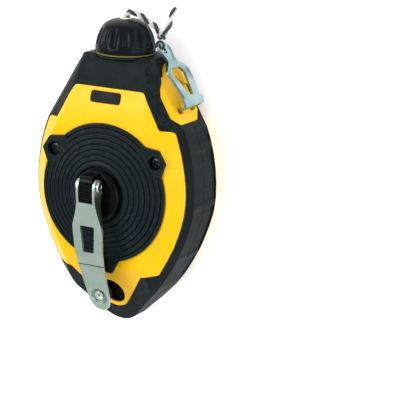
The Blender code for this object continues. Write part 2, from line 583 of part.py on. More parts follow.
# ---- line ---------------------------------------------------------------
def spline(points, n):
    """n points on a smooth Catmull-Rom curve through the given points."""
    pts = [Vector(p) for p in points]
    pts = [pts[0] * 2 - pts[1]] + pts + [pts[-1] * 2 - pts[-2]]
    dense = []
    for i in range(1, len(pts) - 2):
        for k in range(20):
            u = k / 20
            a, b, c, d = pts[i - 1], pts[i], pts[i + 1], pts[i + 2]
            dense.append(0.5 * ((2 * b) + (c - a) * u + (2 * a - 5 * b + 4 * c - d) * u * u + (3 * b - 3 * c + d - a) * u ** 3))
    dense.append(pts[-2])
    run = [0.0]
    for a, b in zip(dense, dense[1:]):
        run.append(run[-1] + (b - a).length)
    out, j = [], 0
    for k in range(n):
        want = run[-1] * k / (n - 1)
        while j < len(run) - 2 and run[j + 1] < want:
            j += 1
        f = (want - run[j]) / max(1e-9, run[j + 1] - run[j])
        out.append(dense[j].lerp(dense[j + 1], f))
    return out, run[-1]


def tube(name, route, n, r, rgb, rough):
    pts, length = spline(route, n)
    cu = bpy.data.curves.new(name, "CURVE")
    cu.dimensions = "3D"
    cu.bevel_depth = r * MM
    cu.bevel_resolution = 2
    cu.render_resolution_u = 0
    cu.use_fill_caps = True
    sp = cu.splines.new("POLY")
    sp.points.add(len(pts) - 1)
    for p, q in zip(sp.points, pts):
        p.co = (q.x * MM, q.y * MM, q.z * MM, 1)
    ob = bpy.data.objects.new(name, cu)
    cu.materials.append(material(name, rgb, rough))
    bpy.context.collection.objects.link(ob)
    return ob, length


INNER_ROUTE = [(0, 26.0, 18.5), (0, 38.0, 18.9), (0, 49.0, 21.4), (0, 58.0, 23.6), (0, 67.0, 24.0), (0, 80.2, 24.0)]
LEAD_ROUTE = [(0.6, 81.8, 24.0), (2.0, 82.7, 24.0), (4.2, 82.7, 23.9), (7.2, 81.7, 23.5), (10.2, 80.0, 22.9),
              (13.0, 78.0, 22.0), (15.0, 76.2, 21.3), (16.3, 74.4, 21.0)]
TAIL_ROUTE = [(18.5, 74.0, 19.4), (18.7, 76.4, 17.4), (18.2, 79.2, 14.2), (17.2, 81.9, 10.6), (16.0, 84.0, 7.2)]
tube("inner_line", INNER_ROUTE, 9, LINE_R, (0.8, 0.8, 0.78), 0.9)
tube("line_lead", LEAD_ROUTE, 10, LINE_R, (0.8, 0.8, 0.78), 0.9)
tube("line_tail", TAIL_ROUTE, 9, LINE_R, (0.8, 0.8, 0.78), 0.9)
knot = bmesh.new()
bmesh.ops.create_icosphere(knot, subdivisions=2, radius=1.0)
for v in knot.verts:
    v.co = Vector((v.co.x * 2.1, v.co.y * 1.5, v.co.z * 2.4)) + Vector((17.7, 72.2, 20.6))
add("line_knot", knot, (0.1, 0.1, 0.1), 0.9)
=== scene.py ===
import json
import math
import random

import bpy
import bmesh
import numpy as np
from mathutils import Matrix, Vector, noise
from mathutils.geometry import delaunay_2d_cdt


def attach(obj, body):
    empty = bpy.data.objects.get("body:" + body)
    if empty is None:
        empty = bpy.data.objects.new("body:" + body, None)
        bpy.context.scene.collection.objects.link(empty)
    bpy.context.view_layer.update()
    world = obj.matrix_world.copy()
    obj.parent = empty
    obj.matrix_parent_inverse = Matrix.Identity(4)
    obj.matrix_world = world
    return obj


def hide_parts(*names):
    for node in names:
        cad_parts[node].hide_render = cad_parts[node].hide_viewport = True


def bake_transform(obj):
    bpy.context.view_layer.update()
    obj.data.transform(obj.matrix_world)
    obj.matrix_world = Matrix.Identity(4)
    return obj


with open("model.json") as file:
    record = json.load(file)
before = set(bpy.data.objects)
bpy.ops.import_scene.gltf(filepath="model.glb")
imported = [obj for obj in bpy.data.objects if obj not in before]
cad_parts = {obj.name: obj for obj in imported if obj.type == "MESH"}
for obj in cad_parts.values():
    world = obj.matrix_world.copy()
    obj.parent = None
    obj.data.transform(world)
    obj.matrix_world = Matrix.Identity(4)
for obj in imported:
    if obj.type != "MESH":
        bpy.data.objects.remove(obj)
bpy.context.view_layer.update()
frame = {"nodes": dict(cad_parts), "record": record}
NODES = frame["nodes"]
MM = 0.001
BODY = {}
for _b, _ns in frame["record"]["behaviour"]["bodies"].items():
    for _n in _ns:
        BODY[_n] = _b

# ------------------------------------------------------------------ camera
# The reel lies on its back; the camera looks at its front face from above
# the hook side.  Directions are in the part's own frame.
AZ, EL, ROLL = math.radians(31.4), math.radians(14.2), math.radians(-0.91)
F_PX, DIST = 1933.0, 0.900
c = Vector((math.sin(AZ) * math.cos(EL), math.sin(EL), math.cos(AZ) * math.cos(EL)))
rt = Vector((math.cos(AZ), 0, -math.sin(AZ)))
up = c.cross(rt)
cx = rt * math.cos(ROLL) - up * math.sin(ROLL)
cy = rt * math.sin(ROLL) + up * math.cos(ROLL)
disc = Vector((0, 0, 0.042))
cam_data = bpy.data.cameras.new("camera")
cam_data.sensor_width = 36.0
cam_data.lens = F_PX / 402.0 * 36.0
cam = bpy.data.objects.new("camera", cam_data)
bpy.context.collection.objects.link(cam)
base = Matrix((cx, cy, c)).transposed()
aim = Vector(((103.0 - 201.0) / F_PX, (201.0 - 193.0) / F_PX, -1.0)).normalized()
turn = Vector((0, 0, -1)).rotation_difference(aim).to_matrix()
cam.matrix_world = Matrix.Translation(disc + c * DIST) @ (base @ turn.inverted()).to_4x4()
cam_data.clip_start, cam_data.clip_end = 0.01, 20.0
bpy.context.scene.camera = cam
bpy.context.scene.view_settings.view_transform = "Standard"


# ------------------------------------------------------------ mesh helpers
def new_object(name, bm, mats, smooth=35.0, origin=None):
    """Write a bmesh in metres as an object with the given materials."""
    bmesh.ops.recalc_face_normals(bm, faces=bm.faces)
    me = bpy.data.meshes.new(name)
    bm.to_mesh(me)
    bm.free()
    for m in mats if isinstance(mats, (list, tuple)) else [mats]:
        me.materials.append(m)
    me.shade_smooth()
    if smooth:
        me.set_sharp_from_angle(angle=math.radians(smooth))
    ob = bpy.data.objects.new(name, me)
    bpy.context.collection.objects.link(ob)
    return ob


def bevel(ob, width, segments=3, angle=30, weld=False, weight=True):
    if weld:
        w = ob.modifiers.new("weld", "WELD")
        w.merge_threshold = 2e-6
        d = ob.modifiers.new("flat", "DECIMATE")
        d.decimate_type = "DISSOLVE"
        d.angle_limit = math.radians(0.6)
    b = ob.modifiers.new("bevel", "BEVEL")
    b.width = width
    b.segments = segments
    b.limit_method = "ANGLE"
    b.angle_limit = math.radians(angle)
    b.use_clamp_overlap = True
    b.miter_outer = "MITER_ARC"
    if weight:
        n = ob.modifiers.new("normals", "WEIGHTED_NORMAL")
        n.keep_sharp = False
        n.weight = 60
    return ob


def apply_all(ob):
    """Turn the evaluated mesh into the object's own mesh."""
    dg = bpy.context.evaluated_depsgraph_get()
    me = bpy.data.meshes.new_from_object(ob.evaluated_get(dg))
    ob.modifiers.clear()
    old = ob.data
    ob.data = me
    bpy.data.meshes.remove(old)
    return ob


def boolean(ob, bm, how="DIFFERENCE"):
    """Cut or join with another closed mesh, and keep the result."""
    bmesh.ops.recalc_face_normals(bm, faces=bm.faces)
    me = bpy.data.meshes.new("cutter")
    bm.to_mesh(me)
    bm.free()
    cut = bpy.data.objects.new("cutter", me)
    bpy.context.collection.objects.link(cut)
    m = ob.modifiers.new("b", "BOOLEAN")
    m.operation, m.solver, m.object = how, "EXACT", cut
    apply_all(ob)
    bpy.data.objects.remove(cut, do_unlink=True)
    return ob


def cad_copy(name, node):
    """A free copy of a CAD node's mesh, welded and with flat faces whole."""
    bm = bmesh.new()
    bm.from_mesh(NODES[node].data)
    bmesh.ops.remove_doubles(bm, verts=bm.verts, dist=4e-6)
    bmesh.ops.dissolve_degenerate(bm, edges=bm.edges, dist=4e-6)
    bmesh.ops.dissolve_limit(bm, angle_limit=math.radians(0.7), verts=bm.verts, edges=bm.edges)
    me = bpy.data.meshes.new(name)
    bm.to_mesh(me)
    bm.free()
    ob = bpy.data.objects.new(name, me)
    bpy.context.collection.objects.link(ob)
    return ob


def lathe(profile, segs, to=None, wave=None, phase=0.0):
    to = to or (lambda x, y, z: (x, y, z))
    bm = bmesh.new()
    rings = []
    for r, h in profile:
        if r < 1e-6:
            rings.append([bm.verts.new(Vector(to(0, 0, h)) * MM)])
            continue
        ring = []
        for k in range(segs):
            a = 2 * math.pi * k / segs + phase
            q = wave(a, r, h) if wave else r
            ring.append(bm.verts.new(Vector(to(q * math.cos(a), q * math.sin(a), h)) * MM))
        rings.append(ring)
    n = len(rings)
    for i in range(n):
        a, b = rings[i], rings[(i + 1) % n]
        if len(a) == 1 and len(b) == 1:
            continue
        for k in range(segs):
            j = (k + 1) % segs
            if len(a) == 1:
                bm.faces.new((a[0], b[j], b[k]))
            elif len(b) == 1:
                bm.faces.new((a[k], a[j], b[0]))
            else:
                bm.faces.new((a[k], a[j], b[j], b[k]))
    return bm


def prism(poly, z0, z1, to=None):
    to = to or (lambda u, v, w: (u, v, w))
    bm = bmesh.new()
    lo = [bm.verts.new(Vector(to(u, v, z0)) * MM) for u, v in poly]
    hi = [bm.verts.new(Vector(to(u, v, z1)) * MM) for u, v in poly]
    n = len(poly)
    for i in range(n):
        j = (i + 1) % n
        bm.faces.new((lo[i], lo[j], hi[j], hi[i]))
    bm.faces.new(lo[::-1])
    bm.faces.new(hi)
    return bm


def circle(r, n, x=0.0, y=0.0):
    return [(x + r * math.cos(2 * math.pi * k / n), y + r * math.sin(2 * math.pi * k / n)) for k in range(n)]


def fillet(poly, radii, steps=5):
    out, n = [], len(poly)
    for i, p in enumerate(poly):
        r = radii[i] if isinstance(radii, (list, tuple)) else radii
        p, a, b = Vector(p), Vector(poly[i - 1]), Vector(poly[(i + 1) % n])
        if r <= 0:
            out.append((p.x, p.y))
            continue
        u, w = (a - p).normalized(), (b - p).normalized()
        half = math.acos(max(-1, min(1, u.dot(w)))) / 2
        t = min(r / math.tan(half), 0.45 * (a - p).length, 0.45 * (b - p).length)
        s, e = p + u * t, p + w * t
        for k in range(steps + 1):
            f = k / steps
            q = s * (1 - f) ** 2 + p * 2 * f * (1 - f) + e * f ** 2
            out.append((q.x, q.y))
    return out


def inside(p, poly):
    x, y, hit, n = p[0], p[1], False, len(poly)
    for i in range(n):
        (x0, y0), (x1, y1) = poly[i], poly[(i + 1) % n]
        if (y0 > y) != (y1 > y) and x < (x1 - x0) * (y - y0) / (y1 - y0) + x0:
            hit = not hit
    return hit


def plate(outline, holes, upper, lower, loops=(), lines=()):
    """A sheet-metal plate: a flat outline with holes, given an upper and a
    lower face by two functions of (u, v).  loops and lines add edges."""
    pts, edges = [], []
    for loop in [outline] + list(holes) + list(loops):
        k = len(pts)
        pts += [Vector(p) for p in loop]
        edges += [(k + i, k + (i + 1) % len(loop)) for i in range(len(loop))]
    for line in lines:
        k = len(pts)
        pts += [Vector(p) for p in line]
        edges += [(k + i, k + i + 1) for i in range(len(line) - 1)]
    vs, _, fs, *_ = delaunay_2d_cdt(pts, edges, [], 0, 1e-5)
    keep = []
    for f in fs:
        m = sum((vs[i] for i in f), Vector((0, 0))) / len(f)
        if inside(m, outline) and not any(inside(m, h) for h in holes):
            keep.append(f)
    bm = bmesh.new()
    used = sorted({i for f in keep for i in f})
    hi = {i: bm.verts.new(Vector(upper(*vs[i])) * MM) for i in used}
    lo = {i: bm.verts.new(Vector(lower(*vs[i])) * MM) for i in used}
    count = {}
    for f in keep:
        bm.faces.new([hi[i] for i in f])
        bm.faces.new([lo[i] for i in reversed(f)])
        for a, b in zip(f, list(f[1:]) + [f[0]]):
            count[(a, b)] = count.get((a, b), 0) + 1
    for (a, b) in list(count):
        if (b, a) not in count:
            bm.faces.new((hi[b], hi[a], lo[a], lo[b]))
    return bm


def edge_distance(p, poly):
    """Distance from a point to a closed outline."""
    best, n, p = 1e9, len(poly), Vector(p)
    for i in range(n):
        a, b = Vector(poly[i]), Vector(poly[(i + 1) % n])
        e = b - a
        f = max(0.0, min(1.0, (p - a).dot(e) / max(1e-12, e.length_squared)))
        best = min(best, (p - a - e * f).length)
    return best


def inset(poly, d):
    """The outline moved inwards by d (outwards if d is negative)."""
    area2 = sum(poly[i - 1][0] * poly[i][1] - poly[i][0] * poly[i - 1][1] for i in range(len(poly)))
    sg, out, n = (1 if area2 > 0 else -1), [], len(poly)
    for i in range(n):
        p, a, b = Vector(poly[i]), Vector(poly[i - 1]), Vector(poly[(i + 1) % n])
        e1, e2 = (p - a).normalized(), (b - p).normalized()
        n1, n2 = Vector((-e1.y, e1.x)) * sg, Vector((-e2.y, e2.x)) * sg
        q = p + (n1 + n2) * (d / max(0.5, 1 + n1.dot(n2)))
        out.append((q.x, q.y))
    return out


def spline(points, n):
    pts = [Vector(p) for p in points]
    pts = [pts[0] * 2 - pts[1]] + pts + [pts[-1] * 2 - pts[-2]]
    dense = []
    for i in range(1, len(pts) - 2):
        for k in range(24):
            u = k / 24
            a, b, q, d = pts[i - 1], pts[i], pts[i + 1], pts[i + 2]
            dense.append(0.5 * ((2 * b) + (q - a) * u + (2 * a - 5 * b + 4 * q - d) * u * u
                                + (3 * b - 3 * q + d - a) * u ** 3))
    dense.append(pts[-2])
    run = [0.0]
    for a, b in zip(dense, dense[1:]):
        run.append(run[-1] + (b - a).length)
    out, j = [], 0
    for k in range(n):
        want = run[-1] * k / (n - 1)
        while j < len(run) - 2 and run[j + 1] < want:
            j += 1
        f = (want - run[j]) / max(1e-9, run[j + 1] - run[j])
        out.append(dense[j].lerp(dense[j + 1], f))
    return out, run[-1]


def frames(path):
    """A steady pair of cross directions along a path."""
    out, n = [], len(path)
    side = None
    for i, p in enumerate(path):
        t = (path[min(n - 1, i + 1)] - path[max(0, i - 1)]).normalized()
        if side is None:
            side = t.orthogonal().normalized()
        side = (side - t * side.dot(t)).normalized()
        out.append((t, side, t.cross(side)))
    return out


def tube(bm, path, radius, sides=12, mat=0, closed=False, wob=None):
    fr = frames(path)
    rings = []
    for i, (p, (t, s, u)) in enumerate(zip(path, fr)):
        r = radius(i) if callable(radius) else radius
        ring = []
        for k in range(sides):
            a = 2 * math.pi * k / sides
            q = r * (1 + (wob(i, a) if wob else 0))
            ring.append(bm.verts.new((p + s * q * math.cos(a) + u * q * math.sin(a)) * MM))
        rings.append(ring)
    n = len(rings)
    for i in range(n if closed else n - 1):
        a, b = rings[i], rings[(i + 1) % n]
        for k in range(sides):
            f = bm.faces.new((a[k], a[(k + 1) % sides], b[(k + 1) % sides], b[k]))
            f.material_index = mat
    if not closed:
        bm.faces.new(rings[0][::-1]).material_index = mat
        bm.faces.new(rings[-1]).material_index = mat
    return bm


# -------------------------------------------------------------- materials
def tree(name):
    m = bpy.data.materials.new(name)
    m.use_nodes = True
    nt = m.node_tree
    return m, nt, nt.nodes["Principled BSDF"]


def link(nt, a, b):
    nt.links.new(a, b)


def noise_node(nt, scale, detail=4.0, rough=0.55, vector=None, distortion=0.0):
    n = nt.nodes.new("ShaderNodeTexNoise")
    n.inputs["Scale"].default_value = scale
    n.inputs["Detail"].default_value = detail
    n.inputs["Roughness"].default_value = rough
    n.inputs["Distortion"].default_value = distortion
    if vector is not None:
        link(nt, vector, n.inputs["Vector"])
    return n


def coords(nt, scale=(1, 1, 1)):
    t = nt.nodes.new("ShaderNodeTexCoord")
    mp = nt.nodes.new("ShaderNodeMapping")
    mp.inputs["Scale"].default_value = scale
    link(nt, t.outputs["Object"], mp.inputs["Vector"])
    return mp.outputs["Vector"]


def ramp(nt, src, stops):
    r = nt.nodes.new("ShaderNodeValToRGB")
    while len(r.color_ramp.elements) < len(stops):
        r.color_ramp.elements.new(0.5)
    for e, (pos, col) in zip(r.color_ramp.elements, stops):
        e.position = pos
        e.color = (*col, 1) if len(col) == 3 else col
    link(nt, src, r.inputs["Fac"])
    return r


def value_ramp(nt, src, lo, hi, a=0.3, b=0.7):
    m = nt.nodes.new("ShaderNodeMapRange")
    m.inputs["From Min"].default_value, m.inputs["From Max"].default_value = a, b
    m.inputs["To Min"].default_value, m.inputs["To Max"].default_value = lo, hi
    link(nt, src, m.inputs["Value"])
    return m.outputs["Result"]


def bump(nt, src, strength, distance, after=None):
    b = nt.nodes.new("ShaderNodeBump")
    b.inputs["Strength"].default_value = strength
    b.inputs["Distance"].default_value = distance
    link(nt, src, b.inputs["Height"])
    if after is not None:
        link(nt, after, b.inputs["Normal"])
    return b.outputs["Normal"]


def mix(nt, fac, a, b):
    m = nt.nodes.new("ShaderNodeMix")
    m.data_type = "RGBA"
    if isinstance(fac, (int, float)):
        m.inputs[0].default_value = fac
    else:
        link(nt, fac, m.inputs[0])
    for sock, v in ((m.inputs[6], a), (m.inputs[7], b)):
        if isinstance(v, tuple):
            sock.default_value = (*v, 1)
        else:
            link(nt, v, sock)
    return m.outputs[2]


def moulded(name, base, dark, rough, grain=1800.0, depth=0.00002, wear=None, spec=0.5, coat=0.0, speck=0.0):
    """Moulded plastic or rubber: cloudy colour, fine grain, scuffed edges."""
    m, nt, b = tree(name)
    v = coords(nt)
    big = noise_node(nt, 55.0, 5.0, 0.6, v)
    col = ramp(nt, big.outputs["Fac"], [(0.3, dark), (0.7, base)]).outputs["Color"]
    if wear:
        geo = nt.nodes.new("ShaderNodeNewGeometry")
        scuff = noise_node(nt, 420.0, 6.0, 0.7, v)
        edge = value_ramp(nt, geo.outputs["Pointiness"], 0.0, 1.0, 0.515, 0.60)
        mm = nt.nodes.new("ShaderNodeMath")
        mm.operation = "MULTIPLY"
        link(nt, edge, mm.inputs[0])
        link(nt, value_ramp(nt, scuff.outputs["Fac"], 0.0, 1.0, 0.45, 0.7), mm.inputs[1])
        m2 = nt.nodes.new("ShaderNodeMath")
        m2.operation = "MULTIPLY"
        link(nt, mm.outputs[0], m2.inputs[0])
        m2.inputs[1].default_value = wear[1]
        col = mix(nt, m2.outputs[0], col, wear[0])
    link(nt, col, b.inputs["Base Color"])
    fine = noise_node(nt, grain, 3.0, 0.6, v)
    mid = noise_node(nt, 160.0, 4.0, 0.6, v)
    link(nt, value_ramp(nt, mid.outputs["Fac"], rough - 0.07, rough + 0.07), b.inputs["Roughness"])
    n1 = bump(nt, fine.outputs["Fac"], 0.6, depth)
    n2 = bump(nt, mid.outputs["Fac"], 0.25, depth * 3, n1)
    link(nt, n2, b.inputs["Normal"])
    b.inputs["Specular IOR Level"].default_value = spec
    b.inputs["Coat Weight"].default_value = coat
    b.inputs["Coat Roughness"].default_value = 0.25
    return m


def metal(name, base, dark, rough, brush=(1, 1, 1), streak=0.5, stain=None, scale=700.0):
    m, nt, b = tree(name)
    v = coords(nt, brush)
    vv = coords(nt)
    fine = noise_node(nt, scale, 5.0, 0.65, v)
    cloud = noise_node(nt, 70.0, 5.0, 0.6, vv)
    col = ramp(nt, cloud.outputs["Fac"], [(0.3, dark), (0.72, base)]).outputs["Color"]
    col = mix(nt, value_ramp(nt, fine.outputs["Fac"], 0.0, 0.35, 0.35, 0.75), col, tuple(x * 0.72 for x in base))
    if stain:
        geo = nt.nodes.new("ShaderNodeNewGeometry")
        e = value_ramp(nt, geo.outputs["Pointiness"], 0.0, 0.8, 0.50, 0.44)
        col = mix(nt, e, col, stain)
    link(nt, col, b.inputs["Base Color"])
    b.inputs["Metallic"].default_value = 1.0
    link(nt, value_ramp(nt, fine.outputs["Fac"], rough - 0.08, rough + 0.12), b.inputs["Roughness"])
    n1 = bump(nt, fine.outputs["Fac"], streak, 0.00001)
    n2 = bump(nt, cloud.outputs["Fac"], 0.3, 0.00006, n1)
    link(nt, n2, b.inputs["Normal"])
    return m


YELLOW = moulded("yellow_abs", (0.99, 0.560, 0.0005), (0.97, 0.520, 0.0005), 0.40, 2400.0, 0.000012,
                 wear=((1.0, 0.72, 0.05), 0.30), spec=0.18)
RUBBER = moulded("black_rubber", (0.0058, 0.0118, 0.0114), (0.0036, 0.0080, 0.0078), 0.55, 3000.0, 0.00004,
                 wear=((0.030, 0.052, 0.048), 0.45), spec=0.09)
BLACK = moulded("black_plastic", (0.0062, 0.0132, 0.0145), (0.0042, 0.0096, 0.0106), 0.45, 2600.0, 0.00003,
                wear=((0.034, 0.058, 0.060), 0.45), spec=0.11)
CAPBLACK = moulded("cap_black", (0.0030, 0.0066, 0.0072), (0.0018, 0.0044, 0.0050), 0.36, 2600.0, 0.00003,
                   wear=((0.040, 0.066, 0.066), 0.45), spec=0.11)
GLOSS = moulded("black_gloss", (0.0012, 0.0018, 0.0020), (0.0008, 0.0012, 0.0014), 0.34, 2600.0, 0.00001,
                wear=((0.02, 0.028, 0.028), 0.4), spec=0.10)
SOCKET = moulded("socket_black", (0.0035, 0.0040, 0.0045), (0.0020, 0.0024, 0.0026), 0.6, 2600.0, 0.00003, spec=0.12)
LABEL = moulded("label_black", (0.0024, 0.0024, 0.0020), (0.0015, 0.0015, 0.0012), 0.42, 3000.0, 0.00001, spec=0.10)
ACETAL = moulded("gear_acetal", (0.72, 0.70, 0.62), (0.64, 0.62, 0.55), 0.42, 2000.0, 0.00001)
CREAM = moulded("cream_plastic", (0.84, 0.80, 0.58), (0.72, 0.66, 0.44), 0.34, 2000.0, 0.00001, spec=0.5)
GASKET = moulded("gasket_rubber", (0.22, 0.19, 0.045), (0.12, 0.11, 0.03), 0.6, 2400.0, 0.00003, spec=0.25)
FELT = moulded("felt", (0.42, 0.41, 0.37), (0.24, 0.23, 0.22), 0.95, 900.0, 0.0003, spec=0.1)
STEEL = metal("screw_steel", (0.72, 0.76, 0.74), (0.50, 0.54, 0.52), 0.28, stain=(0.10, 0.11, 0.10))
# painted shade: near-black steel for the cover screws, standing for the shade in their deep holes
SHADE_BLACK_STEEL = metal("near_black_steel_painted_shade", (0.055, 0.060, 0.060), (0.020, 0.022, 0.022), 0.32, stain=(0.01, 0.01, 0.01))
ARM = metal("crank_steel", (0.54, 0.66, 0.57), (0.38, 0.49, 0.42), 0.44, brush=(1.6, 0.7, 1.0), streak=0.8,
            stain=(0.07, 0.10, 0.08), scale=1100.0)
# painted shade on the crank arm: its crease is darkened as shade, the flange sides are painted dark below the hinge,
# and the bent end past the crease is painted darker
nt = ARM.node_tree
b = next(n for n in nt.nodes if n.type == "BSDF_PRINCIPLED")
tc = nt.nodes.new("ShaderNodeTexCoord")
at = nt.nodes.new("ShaderNodeSeparateXYZ")
link(nt, tc.outputs["Object"], at.inputs[0])
facing = nt.nodes.new("ShaderNodeSeparateXYZ")
link(nt, tc.outputs["Normal"], facing.inputs[0])


def maths(op, a, c):
    m = nt.nodes.new("ShaderNodeMath")
    m.operation = op
    for i, x in enumerate((a, c)):
        if isinstance(x, (int, float)):
            m.inputs[i].default_value = x
        else:
            link(nt, x, m.inputs[i])
    return m.outputs[0]


off = maths("ABSOLUTE", maths("ADD", at.outputs["Y"], 0.0325), 0.0)
# painted shade: a dark line along the crease of the arm
crease_painted_shade = value_ramp(nt, off, 0.85, 0.0, 0.00016, 0.00050)
# painted shade: faces that turn sideways (the flanges) are darkened, only near the hinge
side = value_ramp(nt, maths("ABSOLUTE", facing.outputs["X"], 0.0), 0.0, 0.88, 0.70, 0.92)
below = value_ramp(nt, at.outputs["Y"], 1.0, 0.0, 0.0010, 0.0035)
above = value_ramp(nt, at.outputs["Y"], 0.0, 1.0, -0.0150, -0.0120)
# painted shade: the bent end of the arm past the crease is tinted darker
lower = value_ramp(nt, at.outputs["Y"], 0.32, 0.0, -0.0335, -0.0320)
was = b.inputs["Base Color"].links[0].from_socket
col = mix(nt, lower, was, (0.20, 0.28, 0.23))
col = mix(nt, crease_painted_shade, col, (0.05, 0.08, 0.06))
# painted shade on the flange sides near the hinge
col = mix(nt, maths("MULTIPLY", side, maths("MULTIPLY", below, above)), col, (0.035, 0.055, 0.035))
link(nt, col, b.inputs["Base Color"])
ZINC = metal("zinc_plate", (0.40, 0.55, 0.58), (0.17, 0.26, 0.29), 0.24, brush=(1, 1, 1), streak=0.35,
             stain=(0.03, 0.05, 0.055), scale=260.0)


def fibre(name, base, dark):
    """Twisted synthetic fibre: streaks that run with the strand."""
    m, nt, b = tree(name)
    v = coords(nt, (1, 1, 1))
    n = noise_node(nt, 2600.0, 4.0, 0.7, v, 0.6)
    n2 = noise_node(nt, 420.0, 3.0, 0.6, v)
    w = nt.nodes.new("ShaderNodeTexWave")
    w.wave_type, w.bands_direction = "BANDS", "DIAGONAL"
    w.inputs["Scale"].default_value = 900.0
    w.inputs["Distortion"].default_value = 5.0
    w.inputs["Detail"].default_value = 3.0
    link(nt, v, w.inputs["Vector"])
    col = ramp(nt, w.outputs["Fac"], [(0.15, dark), (0.65, base)]).outputs["Color"]
    col = mix(nt, value_ramp(nt, n2.outputs["Fac"], 0.0, 0.5, 0.35, 0.7), col, dark)
    link(nt, col, b.inputs["Base Color"])
    link(nt, value_ramp(nt, n.outputs["Fac"], 0.65, 0.95), b.inputs["Roughness"])
    nn = bump(nt, w.outputs["Fac"], 0.7, 0.00008)
    link(nt, bump(nt, n.outputs["Fac"], 0.7, 0.00006, nn), b.inputs["Normal"])
    b.inputs["Sheen Weight"].default_value = 0.35
    b.inputs["Sheen Roughness"].default_value = 0.5
    return m


WHITE_STRAND = fibre("line_light_strand", (0.82, 0.84, 0.82), (0.46, 0.48, 0.48))
DARK_STRAND = fibre("line_dark_strand", (0.022, 0.030, 0.030), (0.008, 0.011, 0.012))

SLOT_OF = {s["node"]: s["material_slot"] for s in frame["record"]["subparts"]}
MAT_OF = {"yellow_abs": YELLOW, "black_rubber": RUBBER, "black_plastic": BLACK, "gear_plastic": ACETAL, "cream_plastic": CREAM,
          "gasket": GASKET, "felt": FELT, "line": WHITE_STRAND, "steel": STEEL, "crank_steel": ARM, "zinc": ZINC}


def put(ob, node, *more, body=None):
    """The new piece stands for a CAD node and rides with its body."""
    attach(ob, body or BODY[node])
    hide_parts(node, *more)
    return ob


# --------------------------------------------------- CAD nodes that stay
for n, o in NODES.items():
    o.data.materials.clear()
    o.data.materials.append(MAT_OF[SLOT_OF[n]])
NODES["label_plate"].data.materials[0] = LABEL
NODES["knob_socket"].data.materials[0] = SOCKET
for n in ("cap_gasket", "line_bushing", "felt_wiper", "dust_seal", "hub_screw", "reel_axle",
          "knob_socket", "label_plate", "neck_collar", "planet_carrier", "hook_dock"):
    bevel(NODES[n], 0.00022 if n != "hook_dock" else 0.0006, 2, 30, weld=True)

# ------------------------------------------------------------- case halves
SIDE = [(14.2, 63.4), (17.9, 63.05), (37.0, 31.0), (39.2, 25.2), (41.0, 18.6), (42.2, 11.6), (42.85, 4.6),
        (42.85, -2.6), (42.0, -9.4), (40.2, -15.6), (37.8, -22.2), (35.2, -28.4), (31.4, -35.4), (27.4, -41.9),
        (22.6, -48.2), (15.4, -55.6)]


def side_point(y):
    for (x0, y0), (x1, y1) in zip(SIDE, SIDE[1:]):
        if y1 <= y <= y0:
            return x0 + (x1 - x0) * (y0 - y) / (y0 - y1)
    return SIDE[-1][0]


PADS = [(29.3, 23.7, 0.5), (21.9, -3.2, 0.6), (-5.0, -29.2, 0.6), (-31.0, -44.5, 0.5)]


def pad_cutter(y0, y1, depth, z0, z1, s):
    """A shallow pad let into the side of the grip between two heights."""
    ys = [y0, y0 - 1.0, y0 - 1.8] + [y for _, y in SIDE if y1 + 2.6 < y < y0 - 2.6] + [y1 + 1.8, y1 + 1.0, y1]
    cut = [0.0, 0.75 * depth, depth] + [depth] * (len(ys) - 6) + [depth, 0.75 * depth, 0.0]
    inner = [(side_point(y) - d, y) for y, d in zip(ys, cut)]
    outer = [(side_point(y) + 4.0, y) for y in (y1, 0.5 * (y0 + y1), y0)]
    return prism([(s * x, y) for x, y in inner + outer], z0, z1)


for tag in ("front", "rear"):
    grip = cad_copy(f"{tag}_grip_skin", f"{tag}_grip")
    for y0, y1, dep in PADS:
        for sx in (1, -1):
            boolean(grip, pad_cutter(y0, y1, dep, 11.4, 30.6, sx))
    grip.data.materials.clear()
    grip.data.materials.append(RUBBER)
    grip.data.shade_smooth()
    bevel(grip, 0.0005, 3, 16, weld=True)
    put(grip, f"{tag}_grip")
    shell = cad_copy(f"{tag}_shell_skin", f"{tag}_shell")
    shell.data.materials.clear()
    shell.data.materials.append(YELLOW)
    shell.data.shade_smooth()
    bevel(shell, 0.00045, 3, 16, weld=True)
    put(shell, f"{tag}_shell")

# -------------------------------------------------------------- gear cover
COVER_R, steps, r1, zlo, zhi = 33.0, 7, 15.5, 42.0, 46.3
rise = (zhi - zlo) / steps
prof = [(COVER_R - 0.25, 41.3), (COVER_R, 41.5), (COVER_R, 41.8), (COVER_R - 0.2, zlo)]
for k in range(steps):
    rn = COVER_R - (COVER_R - r1) * (k + 1) / steps
    z = zlo + rise * k
    # tread, a narrow dark groove at its inner end, then the rounded riser
    prof += [(rn + 0.85, z + 0.10), (rn + 0.72, z - 0.02), (rn + 0.62, z - 0.42), (rn + 0.38, z - 0.44), (rn + 0.28, z - 0.02),
             (rn + 0.20, z + 0.34), (rn + 0.02, z + 0.56), (rn - 0.25, z + rise)]
prof += [(r1 - 0.5, 46.5), (14.2, 46.6), (13.5, 46.55), (13.15, 46.2), (13.0, 45.7), (12.9, 45.5), (5.9, 45.5), (5.6, 45.2),
         (5.6, 43.2), (19.8, 43.2), (20.6, 41.3)]
cover = new_object("gear_cover_ribbed", lathe(prof, 128), BLACK)
SCREW_R, SCREW_A = 32.6, math.radians(33)
COVER_SCREWS = [(SCREW_R * math.cos(a), SCREW_R * math.sin(a)) for a in (SCREW_A, math.pi - SCREW_A, -math.pi / 2)]
lug_right = [(24.0, 11.0), (30.6, 11.4), (33.2, 18.0), (29.4, 23.9), (20.5, 24.9), (18.0, 20.0)]
lug_left = [(-x, y) for x, y in reversed(lug_right)]
lug_low = [(-9.5, -28.0), (-9.0, -31.7), (-5.8, -37.9), (5.8, -37.9), (9.0, -31.7), (9.5, -28.0)]
for lug, (x, y) in zip((lug_right, lug_left, lug_low), COVER_SCREWS):
    boolean(cover, prism(fillet(lug, [0, 0.3, 0.9, 0.9, 0.3, 0], 3), 41.3, 42.6), "UNION")
    boolean(cover, prism(circle(4.0, 32, x, y), 37.9, 42.3), "UNION")
